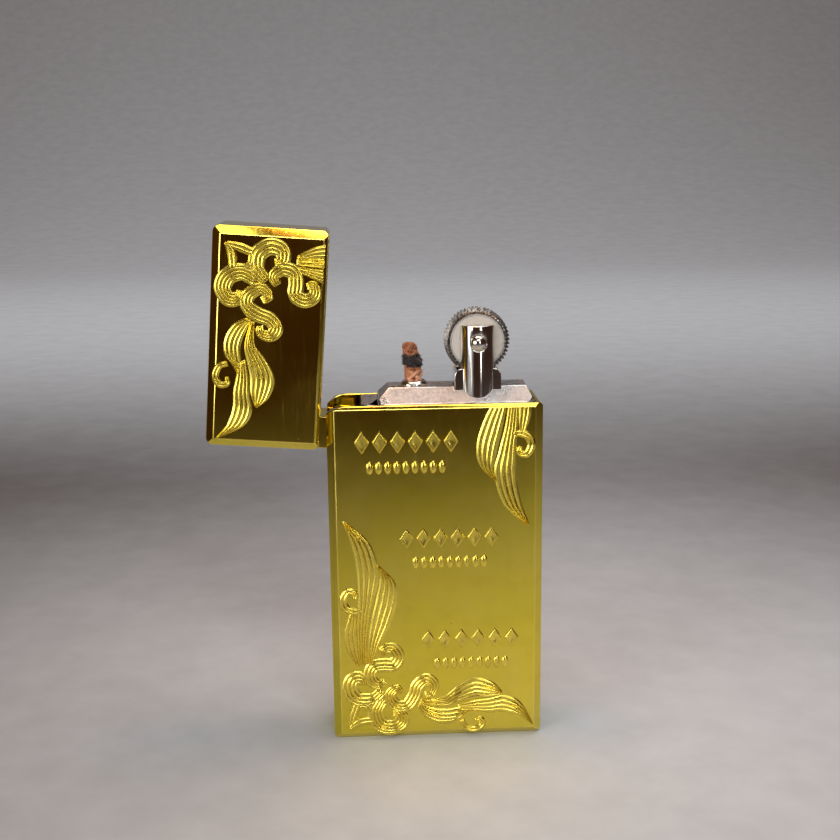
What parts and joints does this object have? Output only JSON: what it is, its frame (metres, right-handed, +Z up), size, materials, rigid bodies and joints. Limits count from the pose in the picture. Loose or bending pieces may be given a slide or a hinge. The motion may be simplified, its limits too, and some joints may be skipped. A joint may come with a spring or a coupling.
{
  "type": "pocket lighter",
  "caption": "Slim flip-top pocket lighter: bevelled metal case and side-hinged lid, pull-out fuel insert with wick, bracket and toothed spark wheel.",
  "frame": {"origin": "centre of the case's flat underside, on which the lighter stands", "axes": "+Z up along the case, +X to the right of the decorated front, front face towards -Y, lid open towards -X"},
  "size_m": [0.0403, 0.009, 0.0642],
  "materials": {
    "gold_plate": "polished greenish gold plate",
    "steel_pin": "ground",
    "tank_sheet": "drawn sheet, nickel plated",
    "cast_head": "nickel plate over a grainy casting",
    "nickel": "polished nickel plate",
    "wheel_steel": "hardened, dark knurled rim",
    "rivet_steel": "bright",
    "brass_tube": "drawn",
    "flint_alloy": "matt, sooty",
    "spring_steel": "drawn wire and strip",
    "screw_steel": "turned",
    "wick_braid": "braided cotton, charred at the tip",
    "cotton": "loose cotton",
    "felt": "pressed felt"
  },
  "bodies": {
    "case": {"case_shell": "gold_plate", "hinge_pin": "steel_pin"},
    "lid": {"lid": "gold_plate"},
    "insert": {"insert_tank": "tank_sheet", "insert_head": "cast_head", "wheel_bracket": "nickel", "wheel_axle": "rivet_steel", "flint_tube": "brass_tube", "flint_spring": "spring_steel", "wick": "wick_braid", "wick_ferrule": "nickel", "wadding_upper": "cotton", "wadding_middle": "cotton", "wadding_lower": "cotton", "felt_pad": "felt", "cam_spring": "spring_steel", "cam_spring_rivets": "rivet_steel"},
    "wheel": {"spark_wheel": "wheel_steel"},
    "flint": {"flint": "flint_alloy", "flint_plunger": "brass_tube"},
    "screw": {"flint_screw": "screw_steel"}
  },
  "joints": [
    {"name": "lid_hinge", "type": "hinge", "parent": "case", "child": "lid", "pos_m": [-0.0106, 0, 0.0394], "axis": [0, -1, 0], "range_deg": [-85.5, 0], "deforming": ["cam_spring"]},
    {"name": "insert_lift", "type": "slide", "parent": "case", "child": "insert", "axis": [0, 0, 1], "range_m": [0, 0.044]},
    {"name": "wheel_spin", "type": "hinge", "parent": "insert", "child": "wheel", "pos_m": [0.0053, 0, 0.0497], "axis": [0, 1, 0], "continuous": true},
    {"name": "flint_feed", "type": "slide", "parent": "insert", "child": "flint", "axis": [0, 0, 1], "range_m": [-0.003, 0], "stiffness_N_per_m": 60, "deforming": ["flint_spring"]},
    {"name": "flint_screw_turn", "type": "hinge", "parent": "insert", "child": "screw", "pos_m": [0.0053, 0, 0.00115], "axis": [0, 0, 1], "range_deg": [0, 360]}
  ]
}
